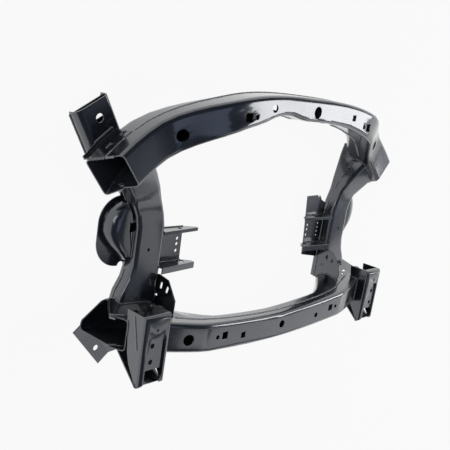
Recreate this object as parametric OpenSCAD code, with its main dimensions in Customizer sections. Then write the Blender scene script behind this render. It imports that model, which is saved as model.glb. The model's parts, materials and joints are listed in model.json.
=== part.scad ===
/* [Sheet] */
// sheet thickness of the two cross beams
beam_sheet = 2.5; // [2.2:0.1:3]
// sheet thickness of the side rails
rail_sheet = 2.5; // [2.2:0.1:3]
// sheet thickness of brackets, plates and legs
plate_sheet = 3; // [2.5:0.1:3.5]
// clearance between two pieces that are welded together
weld_gap = 0.3; // [0.2:0.05:0.4]
// clearance between two shells where one laps over the other
lap_gap = 0.7; // [0.6:0.05:0.8]
// length of the fold at a beam corner, on each side of the edge
fold_len = 11; // [9:0.5:13]
// overlap of the front shell over the rear shell at the seam
seam_lap = 14; // [10:1:18]

/* [Arched beam] */
// half length of the arched beam along its upper edge
arch_half = 500; // [490:1:510]
// half length of the arched beam along its lower edge
arch_low_half = 449; // [440:1:458]
// height of the upper edge at the crown
arch_top_y = 551; // [546:1:556]
// drop of the upper edge from the crown to the end
arch_top_drop = 150; // [145:1:155]
// height of the lower edge at the crown
arch_low_y = 497; // [494:1:500]
// drop of the lower edge from the crown to the end
arch_low_drop = 158; // [153:1:163]
// depth position of the front wall at the crown
arch_front_z = -5; // [-8:0.5:-3]
// how far the beam steps back at its ends
arch_step = 65; // [60:1:70]
// depth position of the rear wall at the crown
arch_rear_z = -90; // [-95:1:-86]
// depth position of the rear wall at the ends
arch_end_z = -152; // [-155:1:-150]
// rise of the scallop in the lower edge
scallop_rise = 13; // [8:1:14]
// middle of the scallop along the beam
scallop_x = -112; // [-120:1:-104]

/* [Low beam] */
// half length of the low beam
low_half = 450; // [446:1:454]
// height of the upper edge at the middle
low_top_y = 27; // [25:1:29]
// rise of the upper edge from the middle to the end
low_top_rise = 40; // [37:1:43]
// height of the lower edge at the middle
low_bot_y = -36; // [-38:1:-34]
// rise of the lower edge from the middle to the end
low_bot_rise = 33; // [30:1:36]
// how far the beam steps back at its ends
low_step = 55; // [52:1:58]
// depth position of the rear wall at the middle
low_rear_z = -57; // [-60:1:-55]
// depth position of the rear wall at the ends
low_end_z = -160; // [-162:1:-158]

/* [Side rails] */
// outer edge of the rail at its waist
rail_out_x = 399; // [396:1:402]
// inner edge of the rail at its waist
rail_in_x = 322; // [319:1:325]
// depth position of the rail front wall
rail_front_z = -118; // [-120:0.5:-116]
// depth position of the rail rear wall
rail_rear_z = -163; // [-165:0.5:-162]
// radius of the small hole in the rail front wall
rail_hole_r = 3.5; // [2.5:0.5:5]

/* [Towers] */
// lean of the tower away from upright
tower_lean = 32; // [30:0.5:34]
// width of the tower
tower_w = 82; // [78:1:86]
// height of the tower above the beam
tower_h = 72; // [66:1:78]
// length of the tower skirt welded behind the beam
tower_skirt = 62; // [56:1:66]
// radius of the tower hole
tower_hole_r = 9; // [7:0.5:11]

/* [Legs] */
// width of the leg, from the beam end inwards
leg_w = 70; // [67:0.5:73]
// upper end of the leg
leg_top_y = 90; // [87:1:93]
// lower end of the leg
leg_low_y = -64; // [-68:1:-60]
// depth of the pressed panel in the leg
leg_panel_depth = 5; // [4:0.5:6]
// radius of the leg bolt holes
leg_bolt_r = 5.5; // [4.5:0.25:6.5]
// distance between the leg bolt holes
leg_bolt_pitch = 35; // [32:1:38]

/* [Brackets] */
// height of the upper bracket plate
bracket_top_y = 222; // [219:1:225]
// height of the lower bracket plate
bracket_low_y = 142; // [139:1:145]
// reach of the bracket plates towards the middle
bracket_tip_x = 209; // [204:1:214]
// radius of the bracket holes
bracket_hole_r = 4; // [3:0.5:5]

/* [Cups and feet] */
// reach of the cup flange away from the rail
cup_reach = 468; // [464:1:472]
// middle height of the cup
cup_y = 222; // [219:1:225]
// half height of the cup flange
cup_half = 78; // [74:1:82]
// radius of the bolt hole in the foot tab
foot_hole_r = 6.5; // [5.5:0.5:7.5]

/* [Hidden] */
rest_z = -180;
leg_out_x = low_half;
leg_in_x = low_half - leg_w;
arch_cut_gap = weld_gap + 0.15;
low_cut_gap = weld_gap + 1.1;
through = 400;
fold_steps = 3;
arch_stations = 34;
low_stations = 32;
rail_stations = 13;
coat = [0.16, 0.17, 0.19];
steel = [0.30, 0.31, 0.33];

// smooth step from 0 to 1 while a runs from lo to hi
function ramp(a, lo, hi) = let (s = min(1, max(0, (a - lo) / (hi - lo)))) s * s * (3 - 2 * s);
// plain step from 0 to 1 while a runs from lo to hi
function slope(a, lo, hi) = min(1, max(0, (a - lo) / (hi - lo)));
function unit(v) = v / norm(v);
// rounded corner of a sheet path, len_in before and after the corner
function fold(a, c, b, len_in) = let (
    p = c + unit(a - c) * len_in,
    q = c + unit(b - c) * len_in
) [for (i = [0:fold_steps]) let (s = i / fold_steps) (1 - s) * (1 - s) * p + 2 * s * (1 - s) * c + s * s * q];
// path moved sideways by w
function aside(path, w) = [for (i = [0:len(path) - 1]) let (
    a = path[max(0, i - 1)],
    b = path[min(len(path) - 1, i + 1)],
    d = unit(b - a)
) path[i] + w * [-d[1], d[0]]];
function back(path) = [for (i = [len(path) - 1:-1:0]) path[i]];
// closed outline of a sheet of thickness w laid on one side of a path
function sheet(path, w) = concat(path, back(aside(path, w)));

// faces turned so that they all look outwards
function sum(list) = list * [for (v = list) 1];
function volume(points, faces) = sum([for (f = faces) cross(points[f[0]], points[f[1]]) * points[f[2]]]);
function outward(points, faces) = volume(points, faces) < 0 ? faces : [for (f = faces) back(f)];

// solid between outlines that all have the same number of points
module skin(rings) {
    n = len(rings[0]);
    m = len(rings);
    half = n / 2;
    points = [for (r = rings) each r];
    sides = [for (j = [0:m - 2], i = [0:n - 1]) each [
        [j * n + i, j * n + (i + 1) % n, (j + 1) * n + (i + 1) % n],
        [j * n + i, (j + 1) * n + (i + 1) % n, (j + 1) * n + i]
    ]];
    ends = [for (i = [0:half - 2], e = [0, 1]) let (
        k = e * (m - 1) * n,
        q = [i + k, n - 1 - i + k, n - 2 - i + k, i + 1 + k],
        r = e == 0 ? q : back(q)
    ) each [[r[0], r[1], r[2]], [r[0], r[2], r[3]]]];
    polyhedron(points = points, faces = outward(points, concat(sides, ends)), convexity = 8);
}

// arched beam: edges, walls and the frame of one cross section
function arch_top(x) = arch_top_y - arch_top_drop * pow(abs(x) / arch_half, 3);
function scallop(x) = scallop_rise * (1 - ramp(abs(x - scallop_x), 8, 84));
function arch_low(x) = arch_low_y - arch_low_drop * pow(abs(x) / arch_low_half, 2.68) + scallop(x);
bend_start = 0.5 * arch_half;
bend_end = 0.86 * arch_half;
function arch_bend(x) = ramp(abs(x), bend_start, bend_end);
function arch_zf(x) = arch_front_z - arch_step * arch_bend(x);
function arch_zr(x) = arch_rear_z + (arch_end_z - arch_rear_z) * ramp(abs(x), bend_start, 0.84 * arch_half);
function arch_seam(x) = 57 - 22 * arch_bend(x);
// shallow pressing in the front wall where the bend starts
dish_depth = 4;
function arch_dish(x) = dish_depth * ramp(abs(x), bend_start - 45, bend_start)
    * (1 - ramp(abs(x), bend_start, bend_start + 80));
function arch_frame(u) = let (
    xt = arch_half * u,
    xb = xt * (1 - (1 - arch_low_half / arch_half) * u * u)
) [[xb, arch_low(xb)], [xt, arch_top(xt)], arch_zf(xt), arch_seam(xt), arch_zf(xt) - arch_zr(xt),
   0.47 * ramp(abs(u), 0.62, 1) * sign(u), 20 * ramp(abs(u), 0.72, 1), arch_dish(xt)];
// point of a cross section, v up the wall and d into the depth
function arch_at(f, p) = let (
    e = unit(f[1] - f[0]),
    q = f[0] + p[0] * e + f[5] * p[1] * [e[1], -e[0]]
) [q[0], q[1], f[2] - p[1]];
function arch_height(f) = norm(f[1] - f[0]);
function front_path(f, wall) = let (h = arch_height(f), c = [0, 0], k = [h, 0]) concat(
    [[0, f[3]]], fold([0, f[3]], c, k, fold_len), wall, fold(c, k, [h, f[3]], fold_len), [[h, f[3]]]);
function arch_front_path(f) = let (h = arch_height(f))
    front_path(f, [[0.32 * h, 0.7 * f[7]], [0.5 * h, f[7]], [0.68 * h, 0.7 * f[7]]]);
arch_inset = beam_sheet + lap_gap;
function arch_rear_path(f) = let (
    h = arch_height(f) - arch_inset,
    d = f[4],
    a = [arch_inset - f[6] * 0.3, f[3] + weld_gap],
    c = [arch_inset - f[6], d],
    k = [h, d],
    b = [h, f[3] - seam_lap]
) concat([a], fold(a, c, k, fold_len), fold(c, k, b, fold_len), [b]);
function arch_us(lo, hi, n) = [for (i = [0:n]) lo + (hi - lo) * i / n];
// stations of one end of a beam, k = -1 for the left end and 1 for the right end, first = -1 is past the end
beyond = 1.07;
function station(i, n) = i < 0 ? beyond : 1 - 2 * i / n;
function end_us(k, n, first, last) = k < 0 ? [for (i = [first:last]) -station(i, n)]
    : [for (i = [last:-1:first]) station(i, n)];

// low beam: edges, walls and the frame of one cross section
function low_top(x) = low_top_y + low_top_rise * pow(abs(x) / low_half, 1.5);
function low_bot(x) = low_bot_y + low_bot_rise * pow(abs(x) / low_half, 1.7);
function low_zf(x) = -low_step * pow(slope(abs(x), 262, low_half), 1.15);
function low_zr(x) = low_rear_z + (low_end_z - low_rear_z) * ramp(abs(x), 180, 385);
function low_seam(x) = 24 + 16 * ramp(abs(x), 150, 400);
function low_frame(u) = let (x = low_half * u) [
    [x, low_bot(x)], [x, low_top(x)], low_zf(x), low_seam(x), low_zf(x) - low_zr(x),
    0.38 * ramp(abs(u), 0.72, 1) * sign(u), ramp(abs(u), 0.7, 1), ramp(abs(u), 0.56, 0.86)];
function low_front_path(f) = front_path(f, []);
low_shoulder = 23;
low_pull = 46;
// point of a low section, like arch_at, with the raised shoulder drawn back from the end
function low_at(f, p) = arch_at(f, p)
    - [sign(f[5]) * low_pull * f[6] * slope(p[0] - arch_height(f), 0, low_shoulder - 4), 0, 0];
function low_rear_path(f) = let (
    h = arch_height(f) - arch_inset,
    d = f[4],
    s = f[6],
    a = [arch_inset, f[3] + weld_gap],
    c1 = [arch_inset + 14 * s, d],
    c2 = [h - 34 * s, d],
    c3 = [h + low_shoulder * f[7], d * (0.62 + 0.2 * f[7])],
    b = [h, f[3] - seam_lap],
    e = [h, f[3]]
) concat([a], fold(a, c1, c2, 8), fold(c1, c2, c3, 8), fold(c2, c3, e, 8), [e + [0, 2], b]);

// outline of a whole beam, grown by a gap, for cutting what is welded to it
function beam_hull(f, front, rear, gap) = let (
    n = len(front) - 1,
    m = len(rear) - 1,
    d = f[3] + gap,
    long_front = [for (i = [0:n]) i == 0 || i == n ? [front[i][0], d] : front[i]],
    short_rear = [for (i = [0:m]) i == m ? [rear[i][0], d] : rear[i]]
) concat(aside(long_front, -gap), back(aside(short_rear, gap)));
// the quads of the rear half are split the other way, as they are in the rear shell
module plug(rings, front_count) {
    n = len(rings[0]);
    m = len(rings);
    sides = [for (j = [0:m - 2], i = [0:n - 1]) let (
        a = j * n + i,
        b = j * n + (i + 1) % n,
        c = (j + 1) * n + (i + 1) % n,
        d = (j + 1) * n + i
    ) each (i < front_count ? [[a, b, c], [a, c, d]] : [[a, b, d], [b, c, d]])];
    first = [for (i = [0:n - 1]) [n * m, (i + 1) % n, i]];
    last = [for (i = [0:n - 1]) [n * m + 1, (m - 1) * n + i, (m - 1) * n + (i + 1) % n]];
    centres = [for (r = [rings[0], rings[m - 1]]) [for (k = [0:2]) (r[2][k] + r[n - 3][k]) / 2]];
    points = concat([for (r = rings) each r], centres);
    polyhedron(points = points, faces = outward(points, concat(sides, first, last)), convexity = 8);
}

module placed() translate([0, -mid_y, -rest_z]) children();
module right_side() placed() mirror([1, 0, 0]) children();

module round_hole(x, y, r) translate([x, y, -through / 2]) cylinder(h = through, r = r, $fn = 48);
module square_hole(x, y, a) translate([x - a / 2, y - a / 2, -60]) cube([a, a, 120]);

module arch_front_shell() color(coat) placed() difference() {
    skin([for (u = arch_us(-1, 1, arch_stations)) let (f = arch_frame(u))
        [for (p = sheet(arch_front_path(f), beam_sheet)) arch_at(f, p)]]);
    translate([0, 520, -30]) cylinder(h = 60, r = 14, $fn = 48);
    translate([-157, 519, -30]) cylinder(h = 60, r = 9, $fn = 48);
    square_hole(157, 516, 15);
    for (s = [-1, 1]) {
        translate([s * 211, 497, -30]) cylinder(h = 60, r = 5.5, $fn = 32);
        square_hole(s * 234, 495, 19);
        translate([s * 368, 444, -80]) cylinder(h = 60, r = 13, $fn = 48);
    }
}

// long slot left open beside the seam, between two places along a beam
seam_slot = 4;
function seam_ring(f) = let (h = arch_height(f)) [for (p = [[h - 20, f[3] + 1], [h + 20, f[3] + 1],
    [h + 20, f[3] + 1 + seam_slot], [h - 20, f[3] + 1 + seam_slot]]) arch_at(f, p)];

module arch_rear_shell() color(coat) placed() difference() {
    skin([for (u = arch_us(-1, 1, arch_stations)) let (f = arch_frame(u))
        [for (p = sheet(arch_rear_path(f), -beam_sheet)) arch_at(f, p)]]);
    translate([-58, 516, -130]) cylinder(h = 100, r = 10, $fn = 48);
    skin([for (u = arch_us(-0.66, -0.44, 5)) seam_ring(arch_frame(u))]);
}

module low_front_shell() color(coat) placed() difference() {
    skin([for (u = arch_us(-1, 1, low_stations)) let (f = low_frame(u))
        [for (p = sheet(low_front_path(f), beam_sheet)) arch_at(f, p)]]);
    translate([0, -1, -20]) cylinder(h = 40, r = 9.5, $fn = 48);
    square_hole(-145, -2, 14);
    translate([145, -2, -20]) cylinder(h = 40, r = 6.5, $fn = 32);
    for (s = [-1, 1]) {
        square_hole(s * 209, 9, 17);
        translate([s * 233, 9, -20]) cylinder(h = 40, r = 5, $fn = 32);
        translate([s * 312, 13, -40]) cylinder(h = 60, r = 12.5, $fn = 48);
    }
}

module low_rear_shell() color(coat) placed() difference() {
    skin([for (u = arch_us(-1, 1, low_stations)) let (f = low_frame(u))
        [for (p = sheet(low_rear_path(f), -beam_sheet)) low_at(f, p)]]);
    for (k = [-1, 1]) translate([k * (low_half - 50), 60, -95]) cube([16, 140, 8], center = true);
    for (k = [-1, 1]) translate([k * (low_half - 70), 60, -85]) cube([10, 140, 7], center = true);
    skin([for (u = arch_us(-0.57, -0.42, 4)) seam_ring(low_frame(u))]);
    skin([for (u = arch_us(-0.1, 0.16, 5)) seam_ring(low_frame(u))]);
}

// side rail: the section runs from the inner edge to the outer edge, s = 0 at the foot and 1 at the head
rail_low_y = 38;
rail_bend_y = 300;
rail_head_y = 372;
rail_top_y = 394;
rail_bow_y = 236;
rail_neck = 0.7;
rail_head_shift = 74 + 0.5 * (arch_low_half - 449);
function rail_bow(y) = rail_head_shift * pow(max(0, y - rail_bow_y) / (rail_head_y - rail_bow_y), 1.7);
function rail_frame(s) = let (
    y = s < rail_neck ? rail_low_y + (rail_bend_y - rail_low_y) * s / rail_neck
        : rail_bend_y + (rail_top_y - rail_bend_y) * (s - rail_neck) / (1 - rail_neck),
    head = max(0, y - rail_bow_y) / (rail_head_y - rail_bow_y),
    foot = 1 - ramp(y, 70, 150),
    a = 34 * ramp(y, 250, rail_head_y),
    mid = [-(rail_out_x + rail_in_x) / 2 - rail_bow(y) - 15 * foot, y - 10 * head],
    w = (rail_out_x - rail_in_x) / 2 + 15 * foot
) [mid + w * [cos(a), sin(a)], mid - w * [cos(a), sin(a)],
   rail_front_z + 26 * slope(y, rail_bend_y - 6, rail_head_y), 25, 0.88 * slope(y, 296, rail_top_y),
   ramp(y, 240, 285)];
function rail_at(f, p) = let (e = unit(f[1] - f[0]), q = f[0] + p[0] * e) [q[0], q[1], f[2] - p[1]];
rail_lap = 8;
// the inner wall leans towards the middle of the frame near the head, f[4] along per depth
function rail_front_path(f) = let (
    h = arch_height(f),
    a = [-f[4] * f[3], f[3]],
    c = [0, 0],
    k = [h, 0],
    b = [h, f[3]]
) concat([a], fold(a, c, k, fold_len), fold(c, k, b, fold_len), [b]);
function rail_rear_path(f) = let (
    in = rail_sheet + lap_gap,
    lean = in * sqrt(1 + f[4] * f[4]) + lap_gap * (1.6 * f[5] + 1.2 * f[4]),
    h = arch_height(f) - in,
    d = f[2] - rail_rear_z,
    a = [lean - f[4] * (f[3] - rail_lap), f[3] - rail_lap],
    c = [lean - f[4] * d, d],
    k = [h, d],
    b = [h, f[3] - rail_lap]
) concat([a], fold(a, c, k, 9), fold(c, k, b, 9), [b]);
function arch_hull(f) =
    [for (p = beam_hull(f, arch_front_path(f), arch_rear_path(f), arch_cut_gap)) arch_at(f, p)];
function low_hull(f) =
    [for (p = beam_hull(f, low_front_path(f), low_rear_path(f), low_cut_gap)) low_at(f, p)];
module arch_plug(k, first, last)
    plug([for (u = end_us(k, arch_stations, first, last)) arch_hull(arch_frame(u))],
        len(arch_front_path(arch_frame(0))));
module low_plug(k, first, last)
    plug([for (u = end_us(k, low_stations, first, last)) low_hull(low_frame(u))],
        len(low_front_path(low_frame(0))));
module flip(k) mirror([k > 0 ? 1 : 0, 0, 0]) children();

module rail_front(k) placed() difference() {
    flip(k) difference() {
        skin([for (i = [0:rail_stations]) let (f = rail_frame(i / rail_stations))
            [for (p = sheet(rail_front_path(f), rail_sheet)) rail_at(f, p)]]);
        round_hole(-364, 189, rail_hole_r);
        tower_room();
    }
    arch_plug(k, -1, 8);
    low_plug(k, -1, 6);
}
module rail_rear(k) placed() difference() {
    flip(k) difference() {
        skin([for (i = [0:rail_stations]) let (f = rail_frame(i / rail_stations))
            [for (p = sheet(rail_rear_path(f), -rail_sheet)) rail_at(f, p)]]);
        tower_room();
    }
    arch_plug(k, -1, 8);
    low_plug(k, -1, 6);
}
module left_rail_front() color(coat) rail_front(-1);
module right_rail_front() color(coat) rail_front(1);
module left_rail_rear() color(coat) rail_rear(-1);
module right_rail_rear() color(coat) rail_rear(1);

// tower: a channel with one wide and one tight fold, closed by a back plate
tower_x = 16 - arch_half;
tower_y = arch_top_y - arch_top_drop + 21;
tower_hole_x = 4;
tower_hole_up = 0.54;
tower_slot = 24;
tower_front_z = arch_end_z - weld_gap;
tower_fold = 20;
tower_tight = 9;
module tower_at() translate([tower_x, tower_y, 0]) rotate([0, 0, tower_lean]) children();
// space that the tower takes behind the beam
module tower_room() tower_at()
    translate([-tower_w / 2 - weld_gap, -tower_skirt - weld_gap, rest_z - weld_gap])
        cube([tower_w + 2 * weld_gap, tower_skirt + tower_h, tower_front_z - rest_z + weld_gap]);
module tower_outline(in) {
    hw = tower_w / 2 - in;
    depth = tower_front_z - rest_z - plate_sheet - weld_gap;
    difference() {
        translate([-hw, -depth]) square([2 * hw, depth - in]);
        translate([-hw, -in - tower_fold + in]) difference() {
            square([tower_fold - in, tower_fold - in]);
            translate([tower_fold - in, 0]) circle(r = tower_fold - in, $fn = 64);
        }
        translate([hw - tower_tight + in, -tower_tight]) difference() {
            square([tower_tight - in, tower_tight - in]);
            circle(r = tower_tight - in, $fn = 48);
        }
    }
}
module tower_channel() tower_at() difference() {
    translate([0, tower_h, tower_front_z]) rotate([90, 0, 0])
        linear_extrude(height = tower_h + tower_skirt) difference() {
            tower_outline(0);
            tower_outline(plate_sheet);
            translate([-tower_w / 2 + plate_sheet, -60]) square([tower_w - 2 * plate_sheet, 60 - tower_fold]);
        }
    translate([tower_hole_x, tower_h * tower_hole_up, -through / 2])
        cylinder(h = through, r = tower_hole_r, $fn = 48);
}
module tower_back() tower_at() difference() {
    translate([-tower_w / 2, -tower_skirt, rest_z]) cube([tower_w, tower_h + tower_skirt - 6, plate_sheet]);
    translate([tower_hole_x, tower_h * tower_hole_up, -through / 2]) linear_extrude(height = through) {
        circle(r = tower_hole_r + 2, $fn = 48);
        translate([0, -tower_hole_r - 2]) square([tower_slot, 2 * tower_hole_r + 4]);
        translate([tower_slot, 0]) circle(r = tower_hole_r + 2, $fn = 48);
    }
}
module left_tower_channel() color(coat) placed() tower_channel();
module right_tower_channel() color(coat) right_side() tower_channel();
module left_tower_back() color(coat) placed() tower_back();
module right_tower_back() color(coat) right_side() tower_back();

// collar: an angle that lies on the beam top and stands against the tower
collar_lip = 9;
collar_seat = 0.4;
function collar_ring(f) = let (
    v = arch_height(f) - arch_inset + weld_gap + collar_seat,
    d0 = f[3] + 4,
    d1 = f[4]
) [for (p = [[v, d0], [v, d1], [v + collar_lip, d1],
    [v + collar_lip, d1 - plate_sheet], [v + plate_sheet, d1 - plate_sheet],
    [v + plate_sheet, d0]]) arch_at(f, p)];
module collar(k) placed() difference() {
    skin([for (i = [0:2]) collar_ring(arch_frame(k * (1 - 2 * i / arch_stations)))]);
    arch_plug(k, -1, 3);
    for (a = [-1, 1]) flip(k) tower_at() translate([20 * a - 4, -60, tower_front_z + 26]) cube([14, 120, 7]);
}
module left_tower_collar() color(coat) collar(-1);
module right_tower_collar() color(coat) collar(1);

// leg: a pressed channel with a rounded head, a sunk panel and an open foot
leg_fold = 10;
leg_depth = 66;
leg_head_r = 13;
leg_panel_top = 50;
leg_panel_low = -27;
leg_panel_in = 11;
module soft_rect(x0, y0, x1, y1, r) {
    translate([x0 + r, y0]) square([x1 - x0 - 2 * r, y1 - y0]);
    translate([x0, y0 + r]) square([x1 - x0, y1 - y0 - 2 * r]);
    for (x = [x0 + r, x1 - r], y = [y0 + r, y1 - r]) translate([x, y]) circle(r = r, $fn = 48);
}
module leg_block(in) intersection() {
    translate([0, through / 2, 0]) rotate([90, 0, 0]) linear_extrude(height = through)
        soft_rect(-leg_out_x + in, -leg_depth - 40, -leg_in_x - in, -in, leg_fold - in);
    translate([-through * 1.5, 0, 0]) rotate([90, 0, 90]) linear_extrude(height = through * 1.5)
        soft_rect(leg_low_y - 60 * in, -leg_depth - 40, leg_top_y - in, -in, leg_head_r - in);
}
module leg_panel(out, z0, z1) translate([0, 0, z0]) linear_extrude(height = z1 - z0)
    soft_rect(-leg_out_x + leg_panel_in - out, leg_panel_low - 40,
        -leg_in_x - leg_panel_in + out, leg_panel_top + out, 12 + out);
module leg_side() translate([-through * 1.5, 0, 0]) rotate([90, 0, 90]) linear_extrude(height = through * 1.5)
    polygon([[leg_low_y, 1], [leg_low_y, -10], [-22, -40], [0, -48], [40, -53],
        [74, -60], [leg_top_y + 1, -62], [leg_top_y + 1, 1]]);
leg_mid_x = -(leg_out_x + leg_in_x) / 2 - 8;
leg_bolt_y = 8;
// the fold over the top of the leg ends here, and the top stays open behind it
leg_top_fold = 15;
module leg_raw() difference() {
    intersection() {
        leg_block(0);
        leg_side();
    }
    difference() {
        leg_block(plate_sheet);
        leg_panel(plate_sheet, -leg_panel_depth - plate_sheet, 0);
    }
    leg_panel(0, -leg_panel_depth, 10);
    translate([-leg_out_x + leg_panel_in, leg_low_y - 5, -leg_depth])
        cube([leg_out_x - leg_in_x - 2 * leg_panel_in, leg_panel_low - leg_low_y + 5, leg_depth + 5]);
    for (k = [-1, 1]) translate([leg_mid_x, leg_bolt_y + k * leg_bolt_pitch / 2, -30])
        cylinder(h = 60, r = leg_bolt_r, $fn = 32);
    translate([leg_mid_x + 5, 60, -20]) cylinder(h = 40, r = 3, $fn = 32);
    translate([-leg_out_x + plate_sheet, leg_top_y - 20, -leg_depth - 20])
        cube([leg_out_x - leg_in_x - 2 * plate_sheet, 40, leg_depth + 20 - leg_top_fold]);
}
module leg(k) placed() difference() {
    flip(k) leg_raw();
    low_plug(k, -1, 3);
}
// back plate of the leg: it rises from the foot of the leg to the underside of the beam
leg_back_z = -13.8;
leg_back_rise = [57, -68];
module leg_back(k) placed() difference() {
    flip(k) translate([-leg_out_x, leg_low_y, leg_back_z]) rotate([90, 0, 90])
        linear_extrude(height = leg_out_x - leg_in_x)
            polygon([[0, 0], leg_back_rise, leg_back_rise + leg_back_thick, leg_back_thick]);
    low_plug(k, -1, 4);
}
leg_back_thick = plate_sheet * [-leg_back_rise[1], leg_back_rise[0]] / norm(leg_back_rise);
module left_leg_back() color(coat) leg_back(-1);
module right_leg_back() color(coat) leg_back(1);
module left_leg() color(coat) leg(-1);
module right_leg() color(coat) leg(1);

// weld nuts behind the leg bolt holes
nut_af = 16;
nut_h = 8;
nut_bore_r = leg_bolt_r - 1.25;
module weld_nut() difference() {
    cylinder(h = nut_h, r = nut_af / sqrt(3), $fn = 6);
    translate([0, 0, -1]) cylinder(h = nut_h + 2, r = nut_bore_r, $fn = 32);
}
module leg_weld_nuts() color(steel) placed() for (s = [-1, 1], k = [-1, 1])
    translate([-s * leg_mid_x, leg_bolt_y + k * leg_bolt_pitch / 2,
        -leg_panel_depth - plate_sheet - weld_gap - nut_h]) weld_nut();

// slotted gusset between the rail foot and the low beam
module slot(y, z, a, l, w) translate([-through, y, z]) rotate([a, 0, 0]) rotate([0, 90, 0])
    linear_extrude(height = through) {
        translate([-w / 2, -l / 2]) square([w, l]);
        translate([0, l / 2]) circle(r = w / 2, $fn = 32);
        translate([0, -l / 2]) circle(r = w / 2, $fn = 32);
    }
module slot_gusset_raw() difference() {
    translate([-rail_in_x + weld_gap, 0, 0]) rotate([90, 0, 90]) linear_extrude(height = plate_sheet)
        polygon([[30, -128], [88, -128], [98, -136], [126, -136], [129, -120], [124, -89],
            [86, -61], [66, -61], [30, -66]]);
    slot(106, -110, 10, 9, 7);
    slot(102, -90, 15, 9, 7);
    slot(80, -126, 70, 8, 7);
}
module slot_gusset(k) placed() difference() {
    flip(k) slot_gusset_raw();
    low_plug(k, 3, 7);
}
module left_slot_gusset() color(coat) slot_gusset(-1);
module right_slot_gusset() color(coat) slot_gusset(1);

// mount bracket on the inner side of the rail
web_z = -150;
web_in_x = 238;
bracket_root = -rail_in_x + weld_gap;
module bracket_top() translate([0, bracket_top_y, 0]) {
    difference() {
        rotate([-90, 0, 0]) linear_extrude(height = plate_sheet)
            polygon([[bracket_root, 119], [-bracket_tip_x, 131], [-bracket_tip_x, 138],
                [-web_in_x + 6, -web_z - weld_gap], [bracket_root, -web_z - weld_gap]]);
        translate([-262, -10, -137]) rotate([-90, 0, 0]) cylinder(h = 30, r = bracket_hole_r + 1, $fn = 32);
    }
    translate([0, -5, 0]) rotate([-90, 0, 0]) linear_extrude(height = 5)
        polygon([[bracket_root, 119], [-bracket_tip_x, 131], [-bracket_tip_x, 134], [bracket_root, 122]]);
}
module bracket_low() translate([0, bracket_low_y, 0]) {
    difference() {
        rotate([-90, 0, 0]) linear_extrude(height = plate_sheet)
            polygon([[bracket_root, 112], [-bracket_tip_x - 4, 124], [-bracket_tip_x - 4, 134],
                [-web_in_x + 6, -web_z - weld_gap], [bracket_root, -web_z - weld_gap]]);
        translate([-240, -20, -139]) rotate([-90, 0, 0]) cylinder(h = 40, r = bracket_hole_r + 2, $fn = 32);
    }
    translate([0, -12, 0]) rotate([-90, 0, 0]) linear_extrude(height = 12)
        polygon([[bracket_root, 112], [-bracket_tip_x - 4, 124],
            [-bracket_tip_x - 4, 127], [bracket_root, 115]]);
}
module bracket_web(outline) difference() {
    translate([0, 0, web_z - plate_sheet]) linear_extrude(height = plate_sheet) polygon(outline);
    for (y = [168, 184, 197]) round_hole(-252, y, bracket_hole_r);
    for (y = [164, 176, 188, 200]) round_hole(-301, y, bracket_hole_r - 1);
}
short_web = [[bracket_root, bracket_low_y], [-web_in_x, bracket_low_y + 4],
    [-web_in_x - 2, bracket_top_y + plate_sheet], [bracket_root, bracket_top_y + plate_sheet]];
tall_web = [[bracket_root, 98], [-web_in_x - 12, 110], [-web_in_x - 6, 168], [-web_in_x + 9, 281],
    [-web_in_x - 40, 283], [-web_in_x - 46, 272], [-web_in_x - 51, 281],
    [-web_in_x - 62, 268], [bracket_root, 260]];
module left_bracket_top() color(coat) placed() bracket_top();
module right_bracket_top() color(coat) right_side() bracket_top();
module left_bracket_low() color(coat) placed() bracket_low();
module right_bracket_low() color(coat) right_side() bracket_low();
module left_bracket_web() color(coat) placed() bracket_web(short_web);
module right_bracket_web() color(coat) right_side() bracket_web(tall_web);

// cup: a rear flange with a rounded outline and a domed panel in front of it
cup_z = rail_rear_z - weld_gap;
cup_round = 58;
module cup_flange() difference() {
    translate([0, 0, cup_z - plate_sheet]) linear_extrude(height = plate_sheet) difference() {
        soft_rect(-cup_reach, cup_y - cup_half, -rail_in_x - 20, cup_y + cup_half, cup_round);
        translate([-398, cup_y - cup_half]) circle(r = 9, $fn = 48);
    }
    round_hole(-360, cup_y, 12);
}
cup_sides = 7;
cup_rings = 10;
cup_turn = 0.3;
// rim of the panel: straight from the foot, then round the cup
function cup_rim(s) = let (t = s / cup_turn, a = -40 + 112 * (s - cup_turn) / (1 - cup_turn))
    s < cup_turn ? [-rail_out_x - 5 - 43 * t, 158 + 40 * t]
        : [-rail_out_x - 7 - 54 * cos(a), cup_y + 13 + 57 * sin(a)];
function cup_arc(s) = let (
    y = 148 + 132 * s,
    bow = rail_bow(y + 6) * 1.28,
    root = [-rail_out_x - weld_gap - bow, y, rail_front_z - 12],
    rim = cup_rim(s)
) [for (i = [0:cup_sides]) let (t = 90 * i / cup_sides, g = sin(t), h = pow(1 - cos(t), 2.2))
    [root[0] + (rim[0] - root[0]) * g, root[1] + (rim[1] - root[1]) * g,
        root[2] + (cup_z + weld_gap - root[2]) * h]];
function cup_ring(s) = let (p = cup_arc(s))
    concat(p, [for (i = [cup_sides:-1:0]) let (t = i / cup_sides) p[i] + plate_sheet * [t, 0, t - 1]]);
module cup_panel() difference() {
    skin([for (i = [0:cup_rings]) cup_ring(i / cup_rings)]);
    translate([-rail_out_x - 13, 228, -200]) cube([40, 20, 100]);
    translate([-rail_out_x - 13, 140, -200]) cube([40, 34, 100]);
}
module left_cup_flange() color(coat) placed() cup_flange();
module right_cup_flange() color(coat) right_side() cup_flange();
module left_cup_panel() color(coat) placed() cup_panel();
module right_cup_panel() color(coat) right_side() cup_panel();

// foot tab: a stepped plate behind the low beam end, with a bolt hole
foot_angle = 41;
foot_w = 115;
foot_x = -4 - low_half;
foot_y = -44;
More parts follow.
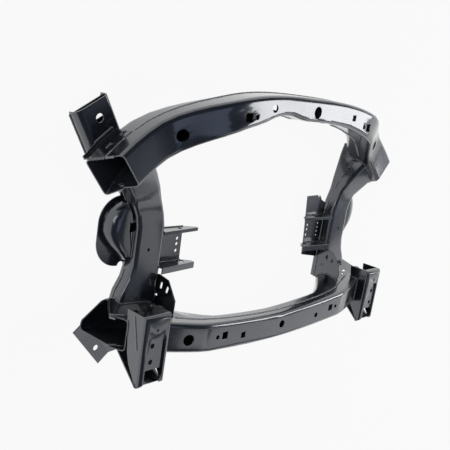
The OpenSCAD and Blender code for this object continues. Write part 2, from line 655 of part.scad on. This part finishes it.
// middle of the whole part in height, from the crown of the arch to the lowest corner of a foot tab
mid_y = (arch_top_y + foot_y - foot_w / 2 * cos(foot_angle)) / 2;
foot_top_z = low_end_z - weld_gap;
module foot_tab() translate([foot_x, foot_y, 0]) rotate([0, 0, -90 + foot_angle]) difference() {
    translate([-foot_w / 2, 0, 0]) rotate([90, 0, 90]) linear_extrude(height = foot_w)
        polygon([[0, rest_z], [34, rest_z], [54, foot_top_z - plate_sheet], [66, foot_top_z - plate_sheet],
            [66, foot_top_z], [53, foot_top_z], [33, rest_z + plate_sheet], [0, rest_z + plate_sheet]]);
    translate([20, 18, -through]) cylinder(h = 2 * through, r = foot_hole_r, $fn = 32);
}
module left_foot_tab() color(coat) placed() foot_tab();
module right_foot_tab() color(coat) right_side() foot_tab();

arch_front_shell();
arch_rear_shell();
low_front_shell();
low_rear_shell();
left_rail_front();
right_rail_front();
left_rail_rear();
right_rail_rear();
left_tower_channel();
right_tower_channel();
left_tower_back();
right_tower_back();
left_tower_collar();
right_tower_collar();
left_leg();
right_leg();
left_leg_back();
right_leg_back();
left_slot_gusset();
right_slot_gusset();
left_bracket_top();
right_bracket_top();
left_bracket_low();
right_bracket_low();
left_bracket_web();
right_bracket_web();
left_cup_flange();
right_cup_flange();
left_cup_panel();
right_cup_panel();
left_foot_tab();
right_foot_tab();
leg_weld_nuts();
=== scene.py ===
# %% [markdown]
# # A welded subframe in black coat
# The part is the bare front subframe of a car: sheet steel, pressed into half shells, welded
# into box beams and dipped in black paint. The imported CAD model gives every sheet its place.
# This lesson dresses it: rounded sheet edges, the coat with its orange peel, and the weld beads
# that the CAD leaves as a thin gap.

# %% Load the frame
import bpy
import bmesh
import json
import math
from mathutils import Matrix, Vector
from mathutils.bvhtree import BVHTree


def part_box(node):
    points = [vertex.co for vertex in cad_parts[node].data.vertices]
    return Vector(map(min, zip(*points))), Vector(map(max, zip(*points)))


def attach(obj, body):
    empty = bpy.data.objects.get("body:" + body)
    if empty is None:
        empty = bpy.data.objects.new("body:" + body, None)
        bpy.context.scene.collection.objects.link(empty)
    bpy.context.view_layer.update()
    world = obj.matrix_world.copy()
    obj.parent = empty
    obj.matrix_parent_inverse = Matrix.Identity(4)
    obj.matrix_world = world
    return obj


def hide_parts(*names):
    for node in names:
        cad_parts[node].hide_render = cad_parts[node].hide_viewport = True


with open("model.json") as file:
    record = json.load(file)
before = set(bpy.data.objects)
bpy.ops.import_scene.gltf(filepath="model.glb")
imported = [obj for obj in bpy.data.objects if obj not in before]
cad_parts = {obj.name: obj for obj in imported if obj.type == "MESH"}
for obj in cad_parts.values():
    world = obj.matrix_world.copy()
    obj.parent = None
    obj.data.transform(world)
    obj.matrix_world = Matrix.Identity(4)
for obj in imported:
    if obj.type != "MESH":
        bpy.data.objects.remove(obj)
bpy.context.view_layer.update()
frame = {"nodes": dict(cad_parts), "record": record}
NODES = frame["nodes"]
MM = 0.001

# %% [markdown]
# ## Camera
# The view is the one of the product photo: from the left of the frame and above it, with the
# arched beam at the top. A track-to constraint would need a target and a roll as well, so the
# camera's matrix is written straight from its three axes. The same function later places the
# lamps and the weld scales.

# %% Camera
CAMERA_PLACE = Vector((-1.29370, 0.34490, 1.08585))
CAMERA_RIGHT = Vector((0.67903, 0.14991, 0.71864))
CAMERA_UP = Vector((0.06056, 0.96415, -0.25834))
CAMERA_BACK = Vector((-0.73161, 0.21894, 0.64561))
LENS_MM = 53.6
SENSOR_MM = 36


def placed(place, x_axis, y_axis, z_axis):
    turned = Matrix((x_axis, y_axis, z_axis)).transposed().to_4x4()
    return Matrix.Translation(place) @ turned


scene = bpy.context.scene
lens = bpy.data.cameras.new("photo_view")
lens.lens = LENS_MM
lens.sensor_width = SENSOR_MM
camera = bpy.data.objects.new("photo_view", lens)
scene.collection.objects.link(camera)
camera.matrix_world = placed(CAMERA_PLACE, CAMERA_RIGHT, CAMERA_UP, CAMERA_BACK)
scene.camera = camera
scene.view_settings.view_transform = "Standard"
print("camera at", [round(v, 3) for v in camera.location])


# %% [markdown]
# ## Small tools for materials
# Colours are picked in sRGB, as a colour picker shows them, and Blender wants them linear. One
# function turns a hex value over, and one adds a node, sets its sockets and links it, so that
# each material reads as a short list.

# %% Material tools
def linear(hex_colour):
    channels = [int(hex_colour[i:i + 2], 16) / 255 for i in (1, 3, 5)]
    return [c / 12.92 if c <= 0.04045 else ((c + 0.055) / 1.055) ** 2.4 for c in channels] + [1.0]


def node(tree, kind, sockets=None, links=None, **settings):
    made = tree.nodes.new(kind)
    for name, value in settings.items():
        setattr(made, name, value)
    for name, value in (sockets or {}).items():
        made.inputs[name].default_value = value
    for name, source in (links or {}).items():
        tree.links.new(source, made.inputs[name])
    return made


def new_material(name):
    material = bpy.data.materials.new(name)
    material.use_nodes = True
    material.node_tree.nodes.clear()
    return material, material.node_tree


print("middle grey, linear:", [round(c, 4) for c in linear("#808080")])

# %% [markdown]
# ## Floor
# The photo has a white ground without a horizon. A studio gets that from a cove, paper that
# bends up behind the part. A flat sheet would show its rim in a low view, and the part is seen
# from all sides, so this cove is round: a disc with its rim raised and its foot line bevelled
# into a soft bend.

# %% Cove
COVE_RADIUS = 14.0
COVE_HEIGHT = 6.0
COVE_SIDES = 64
BEND_STEPS = 8
NEAR_ZERO = 0.01

cove = bmesh.new()
bmesh.ops.create_circle(cove, cap_ends=True, segments=COVE_SIDES, radius=COVE_RADIUS)
rim = [edge for edge in cove.edges if edge.is_boundary]
raised = bmesh.ops.extrude_edge_only(cove, edges=rim)["geom"]
top_points = [item for item in raised if isinstance(item, bmesh.types.BMVert)]
bmesh.ops.translate(cove, verts=top_points, vec=(0, 0, COVE_HEIGHT))
foot_line = [edge for edge in cove.edges
             if not edge.is_boundary and all(v.co.z < NEAR_ZERO for v in edge.verts)]
bmesh.ops.bevel(cove, geom=foot_line, offset=0.5 * COVE_HEIGHT, affect="EDGES",
                segments=BEND_STEPS, profile=0.5, material=-1)
bmesh.ops.recalc_face_normals(cove, faces=cove.faces)
facing_down = [face for face in cove.faces if face.normal.z < -NEAR_ZERO]
bmesh.ops.reverse_faces(cove, faces=facing_down)
floor_mesh = bpy.data.meshes.new("floor")
cove.to_mesh(floor_mesh)
cove.free()
floor = bpy.data.objects.new("floor", floor_mesh)
scene.collection.objects.link(floor)
print("floor faces:", len(floor_mesh.polygons))

# %% [markdown]
# ## White paper
# The camera has to see the paper white, and so has a mirror, because black gloss shows the ground
# that it stands on. More lamp light on the paper would also flood the part. Light Path tells the
# rays apart instead: for those that look at the paper it is mostly a glow of strength 1, and a
# small matte share keeps the shadow. For all other rays it is plain matte paper.

# %% Paper
GLOW_SHARE = 0.93

paper, tree = new_material("white studio paper")
rays = node(tree, "ShaderNodeLightPath")
seen = node(tree, "ShaderNodeMath", operation="MAXIMUM",
            links={0: rays.outputs["Is Camera Ray"], 1: rays.outputs["Is Glossy Ray"]})
seen = node(tree, "ShaderNodeMath", operation="MAXIMUM",
            links={0: seen.outputs[0], 1: rays.outputs["Is Transmission Ray"]})
share = node(tree, "ShaderNodeMath", {1: GLOW_SHARE}, {0: seen.outputs[0]}, operation="MULTIPLY")
# Uncoated paper: a soft white without any gloss, so that only shadow can be seen on it.
matte = node(tree, "ShaderNodeBsdfDiffuse", {"Color": linear("#f4f4f4")})
glow = node(tree, "ShaderNodeEmission", {"Color": linear("#ffffff"), "Strength": 1.0})
mixed = node(tree, "ShaderNodeMixShader",
             links={0: share.outputs[0], 1: matte.outputs[0], 2: glow.outputs[0]})
node(tree, "ShaderNodeOutputMaterial", links={"Surface": mixed.outputs[0]})
floor_mesh.materials.append(paper)
print("floor:", paper.name)


# %% [markdown]
# ## Soft boxes
# Black gloss has hardly any colour of its own: what the eye sees is the reflection of the lamps.
# A small lamp would only leave a dot. So the lamps are large soft boxes, and each stands about
# where the mirrored line of sight from one part of the frame ends: the side box whitens the
# middle of the arch, the low strip greys the low beam, and the weaker panels lift the rails,
# legs and bends. The sky panel is a little blue, as light from a roof window is.

# %% Soft boxes
def soft_box(name, place, target, size, watts, along=(0, 0, 1), tint="#ffffff"):
    lamp = bpy.data.lights.new(name, "AREA")
    lamp.shape = "RECTANGLE"
    lamp.size, lamp.size_y = size
    lamp.energy = watts
    lamp.color = linear(tint)[:3]
    lamp_object = bpy.data.objects.new(name, lamp)
    scene.collection.objects.link(lamp_object)
    back = (Vector(place) - Vector(target)).normalized()
    right = Vector(along).cross(back).normalized()
    lamp_object.matrix_world = placed(place, right, back.cross(right), back)


soft_box("side_box", place=(2.5, 0.15, 2.03), target=(0.2, 0.25, 0.15),
         size=(0.9, 1.18), watts=17.4)
soft_box("low_strip", place=(2.5, -1.62, 2.25), target=(0.2, -0.2, 0.1),
         size=(0.75, 3.25), watts=6.2, along=(0, -0.59, 0.81))
soft_box("rail_panel", place=(2.5, -1.1, 3.3), target=(0.2, 0.0, 0.1),
         size=(0.6, 0.8), watts=1.1)
soft_box("left_box", place=(-2.4, 0.9, 1.5), target=(-0.4, 0.0, 0.1),
         size=(1.0, 1.0), watts=8)
soft_box("top_panel", place=(1.1, -1.52, 3.0), target=(1.1, -1.52, 0.0),
         size=(0.42, 1.5), watts=2.0, along=(0.99, -0.14, 0))
soft_box("sky_panel", place=(-0.2, -0.3, 3.0), target=(-0.2, -0.3, 0.0),
         size=(0.8, 1.2), watts=1.6, along=(1, 0, 0), tint="#cfdcff")

# %% [markdown]
# ## Room
# Between the lamps a studio is not black: its walls send back a weak, cold light. A plain world
# colour gives that, and keeps the faces that no lamp reaches from sinking into black.

# %% Room light
ROOM_COLOUR = "#98a3b6"
ROOM_STRENGTH = 0.25

world = bpy.data.worlds.new("studio")
world.use_nodes = True
background = world.node_tree.nodes["Background"]
background.inputs["Color"].default_value = linear(ROOM_COLOUR)
background.inputs["Strength"].default_value = ROOM_STRENGTH
scene.world = world
print("room:", ROOM_COLOUR, "at", ROOM_STRENGTH)

# %% [markdown]
# ## Black coat on pressed steel
# The real coat is epoxy, laid on by current in a bath: an even film of about 20 micrometres,
# black with a cold tint, glossy, with a fine orange peel. One dark gloss would look like plastic.
# Here a dark base carries a clear glossy layer; two bumps give the peel and the slow waves that
# a press leaves in sheet; and colour and gloss change slowly from place to place, where the film
# ran or dried. Real orange peel is 1 to 2 mm across, too fine for this picture, so on the sheets
# it is drawn 5 mm across.

# %% Coat
FILM_PATCH = 90 * MM
WAVE_DEPTH, WAVE_STRENGTH = 0.5 * MM, 0.06
PEEL_DEPTH, PEEL_STRENGTH = 0.06 * MM, 0.2
TINT_RANGE = {"From Min": 0.35, "From Max": 0.75}
GLOSS_RANGE = {"From Min": 0.3, "From Max": 0.7}
GLOSS_SPREAD = 0.1
COLD_SHEEN = "#e2ecff"
EPOXY_IOR = 1.55
# A clear lacquer has about 1.5. The photo's flat-angle reflections are stronger, so it is raised.
CLEAR_IOR = 1.8
CLEAR_ROUGHNESS = 0.12


def black_coat(name, colour, dust, gloss, peel_mm, wave_mm, shine=1.0):
    material, tree = new_material(name)
    place = node(tree, "ShaderNodeTexCoord").outputs["Object"]
    film = node(tree, "ShaderNodeTexNoise",
                {"Scale": 1 / FILM_PATCH, "Detail": 3.0, "Roughness": 0.6}, {"Vector": place})
    spread = node(tree, "ShaderNodeMapRange", TINT_RANGE, {"Value": film.outputs["Fac"]})
    tint = node(tree, "ShaderNodeMix", {"A": linear(colour), "B": linear(dust)},
                {"Factor": spread.outputs["Result"]}, data_type="RGBA")
    rough = node(tree, "ShaderNodeMapRange",
                 {**GLOSS_RANGE, "To Min": gloss, "To Max": gloss + GLOSS_SPREAD},
                 {"Value": film.outputs["Fac"]})
    wave = node(tree, "ShaderNodeTexNoise", {"Scale": 1 / (wave_mm * MM), "Detail": 1.0},
                {"Vector": place})
    peel = node(tree, "ShaderNodeTexNoise", {"Scale": 1 / (peel_mm * MM), "Detail": 2.0},
                {"Vector": place})
    slow = node(tree, "ShaderNodeBump", {"Strength": WAVE_STRENGTH, "Distance": WAVE_DEPTH},
                {"Height": wave.outputs["Fac"]})
    fine = node(tree, "ShaderNodeBump", {"Strength": PEEL_STRENGTH, "Distance": PEEL_DEPTH},
                {"Height": peel.outputs["Fac"], "Normal": slow.outputs["Normal"]})
    coat = node(tree, "ShaderNodeBsdfPrincipled",
                {"IOR": EPOXY_IOR, "Specular Tint": linear(COLD_SHEEN), "Coat Weight": shine,
                 "Coat Roughness": CLEAR_ROUGHNESS, "Coat IOR": CLEAR_IOR},
                {"Base Color": tint.outputs["Result"], "Roughness": rough.outputs["Result"],
                 "Normal": fine.outputs["Normal"]})
    node(tree, "ShaderNodeOutputMaterial", links={"Surface": coat.outputs[0]})
    return material


print("coat: peel", round(PEEL_DEPTH / MM, 2), "mm deep, waves", round(WAVE_DEPTH / MM, 2), "mm")

# %% [markdown]
# ## The coat on each kind of steel
# It is one bath for the whole frame, but the steel under the film differs, and so does what the
# eye gets. One function with a few values makes them all, so that they stay one family.

# %% Coats
# Pressed shells: an even, cold black that mirrors the soft boxes as blurred, slowly bent patches.
COATED_STEEL = black_coat("black e-coat on pressed steel", "#171a1f", "#20242a", 0.25, 5, 70)
# Folded plates: the same film on smaller, stiffer sheets, so its waves are shorter.
COATED_PLATE = black_coat("black e-coat on folded plate", "#15181c", "#1e2126", 0.27, 5, 45)
# Weld nuts: small faces on which the film gathers, a little greyer and less sharp in the mirror.
COATED_NUT = black_coat("black e-coat on weld nuts", "#1c1d20", "#2a2b2e", 0.32, 2, 12)
# Beads: the film is thinner on the scales, and their base colour is lighter than the coat as a
# painted highlight, so the bead reads as a light, broken line.
BEAD_COAT_WITH_PAINTED_HIGHLIGHT = black_coat("black e-coat on weld bead, lightened as painted highlight", "#303338", "#54575c", 0.22, 2, 6)
# Seams: the film hardly holds there, so the pale grey base colour is partly the metal showing
# through and partly a painted highlight.
THIN_BEAD_PAINTED_HIGHLIGHT = black_coat("thin e-coat on weld bead, pale as painted highlight", "#8a8c90", "#b4b5b8", 0.2, 2, 6)
# Inside of the beams: a film without clear gloss, so that holes and open ends look black.
DULL_INSIDE = black_coat("dull e-coat inside the beams", "#1b1d20", "#2a2c2f", 0.55, 5, 70,
                         shine=0.0)
FINISH = {"coated_steel": COATED_STEEL, "coated_plate": COATED_PLATE, "nut_steel": COATED_NUT}
print("coats:", [m.name for m in FINISH.values()])

# %% [markdown]
# ## Rounded sheets
# Punched and sheared sheet has no knife edges: the punch rolls one side over and the coat rounds
# both. Each CAD node is copied, its loose triangles are merged and its flat faces joined, and a
# narrow bevel runs along every sharp edge. The pressed folds are already in the CAD as short
# facets, so smooth shading up to an angle rounds them. Weighted normals then keep the large faces
# flat in the mirror. The legs go without, because plain smoothing shows their pressed lines.

# %% Sheet copies
EDGE_ROUND = 0.6 * MM
EDGE_SEGMENTS = 2
SHARP = math.radians(38)
SAME_POINT = 0.005 * MM
SAME_FACE = math.radians(0.4)
SLOT_OF = {part["node"]: part["material_slot"] for part in frame["record"]["subparts"]}


def merged_mesh(name):
    shape = bmesh.new()
    shape.from_mesh(NODES[name].data)
    bmesh.ops.remove_doubles(shape, verts=shape.verts, dist=SAME_POINT)
    bmesh.ops.dissolve_limit(shape, angle_limit=SAME_FACE, verts=shape.verts, edges=shape.edges)
    mesh = bpy.data.meshes.new(name + "_skin")
    shape.to_mesh(mesh)
    shape.free()
    mesh.materials.append(FINISH[SLOT_OF[name]])
    mesh.shade_smooth()
    mesh.set_sharp_from_angle(angle=SHARP)
    return mesh


def rounded_copy(name):
    skin = bpy.data.objects.new(name + "_skin", merged_mesh(name))
    scene.collection.objects.link(skin)
    rolled = skin.modifiers.new("edge_round", "BEVEL")
    rolled.width = EDGE_ROUND
    rolled.segments = EDGE_SEGMENTS
    rolled.limit_method = "ANGLE"
    rolled.angle_limit = SHARP
    rolled.use_clamp_overlap = True
    if not name.endswith("_leg"):
        flat = skin.modifiers.new("flat_faces", "WEIGHTED_NORMAL")
        flat.keep_sharp = True
    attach(skin, "root")
    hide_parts(name)
    return skin


skins = {name: rounded_copy(name) for name in sorted(NODES)}
print("sheets:", len(skins), "faces:", sum(len(s.data.polygons) for s in skins.values()))


# %% [markdown]
# ## Search trees
# The next steps ask which sheet is near a point and what a ray meets on its way. Going through
# all faces each time would take minutes. A search tree for each sheet, and one for all of them
# together, answers at once.

# %% Trees
def shape_of(name):
    shape = bmesh.new()
    shape.from_mesh(skins[name].data)
    shape.normal_update()
    return shape


SHAPES = {name: shape_of(name) for name in skins}
TREES = {name: BVHTree.FromBMesh(shape) for name, shape in SHAPES.items()}
whole_shape = bmesh.new()
for skin in skins.values():
    whole_shape.from_mesh(skin.data)
WHOLE = BVHTree.FromBMesh(whole_shape)
whole_shape.free()
print("trees:", len(TREES), "and one of all sheets")

# %% [markdown]
# ## Inside of the box beams
# The bath hardly moves inside a closed beam, so the film there is thin and dull, and holes and
# open ends look black. Picking those faces by hand would be long. A rule finds them: a face
# belongs to the inside when a ray along its normal soon meets a wall of the same beam. A hit
# within a few millimetres only means that two sheets lap there, and does not count.

# %% Dull inside
SIDES = ("left", "right")
ARCH = ["arch_front_shell", "arch_rear_shell"]
LOW = ["low_front_shell", "low_rear_shell"]
RAILS = {side: [side + "_rail_front", side + "_rail_rear"] for side in SIDES}
INSIDE_REACH = 130 * MM
LAP = 6 * MM
RAY_LIFT = 0.2 * MM


def faces_inside(face, halves):
    start = face.center + RAY_LIFT * face.normal
    hits = [TREES[half].ray_cast(start, face.normal, INSIDE_REACH) for half in halves]
    near = min((hit[3] for hit in hits if hit[0] is not None), default=0.0)
    return near > LAP


for halves in (ARCH, LOW, RAILS["left"], RAILS["right"]):
    for half in halves:
        sheet = skins[half].data
        sheet.materials.append(DULL_INSIDE)
        inside = [face for face in sheet.polygons if faces_inside(face, halves)]
        for face in inside:
            face.material_index = 1
        print(half, len(inside), "of", len(sheet.polygons), "faces inside")


# %% [markdown]
# ## Where a bead lies
# A weld bead lies wherever the cut edge of one sheet stands close to the face of another. It
# could follow a drawn curve, but then each of the many runs would need its own. Here every sharp
# edge is walked in small steps, a step counts when the other sheet is near, and the bead's place
# is the corner between the two faces. A ray outwards tells whether the torch could reach it, so
# the inside of a box beam stays bare. A lap seam is pushed outwards to show, by the value proud.

# %% Bead places
BEAD_STEP = 4.2 * MM
BEAD_HALF = 2.8 * MM
BEAD_ROOM = 0.7 * BEAD_STEP
TORCH_START = 1.6 * BEAD_HALF
TORCH_ROOM = 70 * MM
STEEPEST = 0.6


def nearest(point, names):
    hits = [TREES[name].find_nearest(point) for name in names]
    return min(hits, key=lambda hit: hit[3])


def torch_reaches(point, outward):
    return WHOLE.ray_cast(point, outward, TORCH_ROOM)[0] is None


def bead_places(edge_node, face_nodes, reach, proud):
    places, taken = [], set()
    for edge in SHAPES[edge_node].edges:
        if len(edge.link_faces) != 2 or edge.calc_face_angle(0.0) < SHARP:
            continue
        start, end = edge.verts[0].co, edge.verts[1].co
        along = (end - start).normalized()
        marks = max(1, round((end - start).length / BEAD_STEP))
        for i in range(marks):
            point = start.lerp(end, (i + 0.5) / marks)
            foot, up, _, gap = nearest(point, face_nodes)
            cell = tuple(round(c / BEAD_ROOM) for c in foot)
            if gap > reach or cell in taken:
                continue
            normals = [face.normal for face in edge.link_faces]
            outward = min(normals, key=lambda normal: abs(normal.dot(up))) + up
            outward = (outward - outward.dot(along) * along).normalized()
            centre = (point + foot) / 2
            lies_flat = abs(along.dot(up)) < STEEPEST
            if lies_flat and torch_reaches(centre + TORCH_START * outward, outward):
                taken.add(cell)
                places.append((centre + proud * outward, along, outward))
    return places


print("a scale every", round(BEAD_STEP / MM, 1), "mm")

# %% [markdown]
# ## A row of scales
# A robot draws each bead in one pass: small pools of metal freeze one after the other, so a bead
# looks like a row of overlapping scales. A smooth tube with a bump would lose them in its outline.
# One flattened ball of a few faces is made once and set down at each place of the run.

# %% Bead
SCALE_SIZE = (0.85 * BEAD_STEP, BEAD_HALF, 0.9 * BEAD_HALF, 1.0)

ONE_SCALE = bpy.data.meshes.new("one_scale")
scale_shape = bmesh.new()
bmesh.ops.create_uvsphere(scale_shape, u_segments=8, v_segments=5, radius=1.0,
                          matrix=Matrix.Diagonal(SCALE_SIZE))
scale_shape.to_mesh(ONE_SCALE)
scale_shape.free()


def lay_bead(name, places, coat):
    shape = bmesh.new()
    for centre, along, outward in places:
        laid = ONE_SCALE.copy()
        laid.transform(placed(centre, along, outward.cross(along), outward))
        shape.from_mesh(laid)
        bpy.data.meshes.remove(laid)
    mesh = bpy.data.meshes.new(name)
    shape.to_mesh(mesh)
    shape.free()
    mesh.shade_smooth()
    mesh.materials.append(coat)
    bead = bpy.data.objects.new(name, mesh)
    scene.collection.objects.link(bead)
    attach(bead, "root")
    print(name, len(places), "scales")


print("faces of one scale:", len(ONE_SCALE.polygons))

# %% [markdown]
# ## All welds
# The two long seams close the beams, and then each side's rail, leg, gusset, bracket, cup, tower
# and foot tab is welded to what carries it. Each run names the sheet whose edge is welded and the
# sheets that it meets. Pieces that are cut to fit a beam stand a little further off, so they get
# the wider reach.

# %% Welds
REACH = 1.4 * MM
WIDE_REACH = 2.4 * MM
SEAM_PROUD = 3.0 * MM


def weld(name, edge_node, face_nodes, reach=REACH, proud=0.0, coat=BEAD_COAT_WITH_PAINTED_HIGHLIGHT):
    lay_bead(name, bead_places(edge_node, face_nodes, reach, proud), coat)


# The long seams and the leg beads get the pale bead coat, whose light colour is partly a painted
# highlight.
weld("arch_seam", "arch_front_shell", ["arch_rear_shell"], proud=SEAM_PROUD, coat=THIN_BEAD_PAINTED_HIGHLIGHT)
weld("low_seam", "low_front_shell", ["low_rear_shell"], proud=SEAM_PROUD, coat=THIN_BEAD_PAINTED_HIGHLIGHT)
for side in SIDES:
    rail = RAILS[side]
    weld(side + "_rail_seam", rail[0], [rail[1]], proud=SEAM_PROUD)
    weld(side + "_rail_head_and_foot", rail[0], ARCH + LOW, WIDE_REACH)
    weld(side + "_rail_rear_ends", rail[1], ARCH + LOW, WIDE_REACH)
    weld(side + "_leg_weld", side + "_leg", LOW, WIDE_REACH)
    weld(side + "_leg_back_weld", side + "_leg_back", LOW + [side + "_leg"], WIDE_REACH)
    weld(side + "_gusset_weld", side + "_slot_gusset", LOW + rail, WIDE_REACH)
    for plate in ("_bracket_top", "_bracket_low"):
        weld(side + plate + "_weld", side + plate, rail + [side + "_bracket_web"])
    weld(side + "_cup_weld", side + "_cup_panel", rail)
    weld(side + "_cup_flange_weld", side + "_cup_flange", rail + [side + "_cup_panel"])
    weld(side + "_collar_weld", side + "_tower_collar", ARCH + [side + "_tower_channel"])
    weld(side + "_tower_weld", side + "_tower_back", [side + "_tower_channel"])
    weld(side + "_foot_weld", side + "_foot_tab", LOW)

# %% [markdown]
# ## Bead on the leg
# The outer wall of each leg is welded through to the end of the low beam behind it, so one
# straight bead stands in the middle of the wall. No cut edge marks its place, so the rule above
# would miss it, and it is laid between two points on the wall.

# %% Leg beads
LEG_BEAD_TOP = (-150 * MM, 142 * MM)
LEG_BEAD_END = (-216 * MM, 160 * MM)

for side, sign in zip(SIDES, (-1, 1)):
    low_corner, high_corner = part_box(side + "_leg")
    wall = low_corner[0] if sign < 0 else high_corner[0]
    top, end = Vector((wall, *LEG_BEAD_TOP)), Vector((wall, *LEG_BEAD_END))
    along, outward = (end - top).normalized(), Vector((sign, 0, 0))
    marks = round((end - top).length / BEAD_STEP)
    places = [(top.lerp(end, (i + 0.5) / marks), along, outward) for i in range(marks)]
    lay_bead(side + "_leg_wall_bead", places, THIN_BEAD_PAINTED_HIGHLIGHT)
